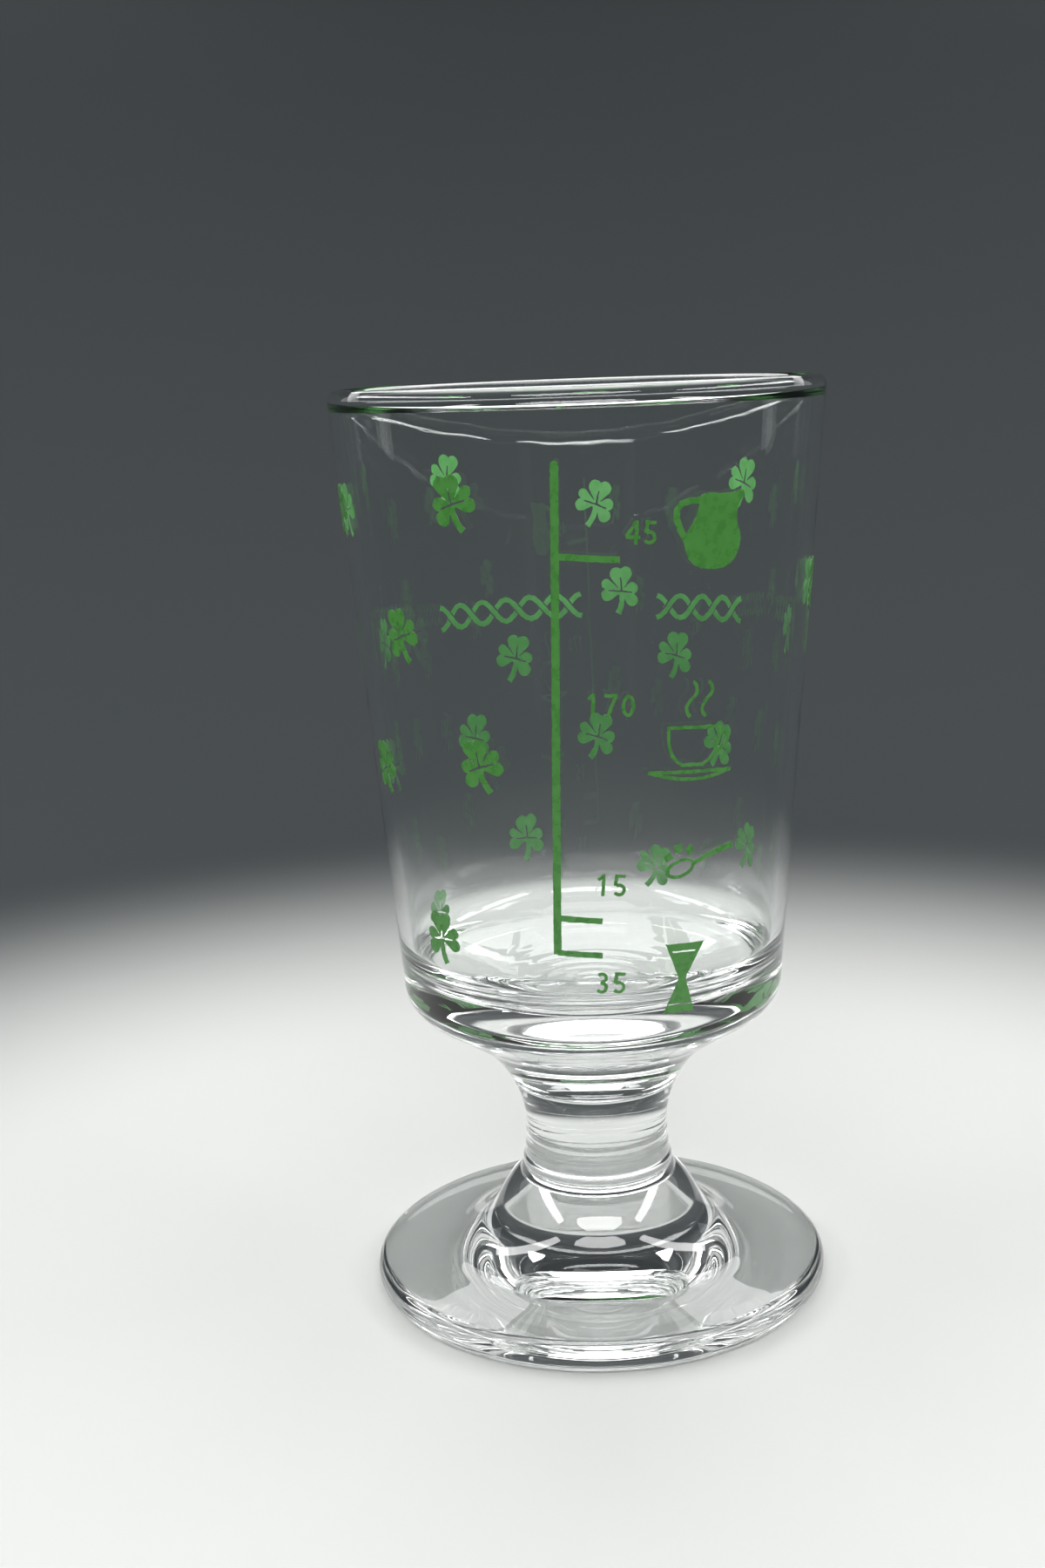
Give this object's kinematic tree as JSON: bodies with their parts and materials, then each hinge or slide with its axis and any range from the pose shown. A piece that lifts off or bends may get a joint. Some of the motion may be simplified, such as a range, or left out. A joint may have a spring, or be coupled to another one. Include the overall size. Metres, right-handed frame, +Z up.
{
  "type": "irish coffee glass",
  "caption": "Footed glass for hot whiskey coffee: a tapered bowl with a rolled rim on a waisted stem and domed foot, printed in green enamel with a fill scale and shamrocks.",
  "frame": {"origin": "centre of the foot's ring at the height of the table it stands on", "axes": "+Z up along the glass's axis; -Y towards the front, where the scale is printed; +X to the right of somebody who looks at the front"},
  "size_m": [0.0762, 0.0762, 0.1467],
  "materials": {
    "soda_lime_glass": "clear soda-lime glass, fire-polished",
    "fired_enamel": "glossy green enamel fired onto the glass"
  },
  "bodies": {
    "root": {"bowl": "soda_lime_glass", "stem": "soda_lime_glass", "foot": "soda_lime_glass", "fill_scale": "fired_enamel", "jug_print": "fired_enamel", "cup_print": "fired_enamel", "spoon_print": "fired_enamel", "measure_print": "fired_enamel", "number_45": "fired_enamel", "number_170": "fired_enamel", "number_15": "fired_enamel", "number_35": "fired_enamel", "plait_long": "fired_enamel", "plait_short": "fired_enamel", "shamrock_01": "fired_enamel", "shamrock_02": "fired_enamel", "shamrock_03": "fired_enamel", "shamrock_04": "fired_enamel", "shamrock_05": "fired_enamel", "shamrock_06": "fired_enamel", "shamrock_07": "fired_enamel", "shamrock_08": "fired_enamel", "shamrock_09": "fired_enamel", "shamrock_10": "fired_enamel", "shamrock_11": "fired_enamel", "shamrock_12": "fired_enamel", "shamrock_13": "fired_enamel", "shamrock_14": "fired_enamel", "shamrock_15": "fired_enamel", "shamrock_16": "fired_enamel", "shamrock_17": "fired_enamel", "shamrock_18": "fired_enamel", "shamrock_19": "fired_enamel", "shamrock_20": "fired_enamel", "shamrock_21": "fired_enamel", "shamrock_22": "fired_enamel"}
  },
  "joints": []
}
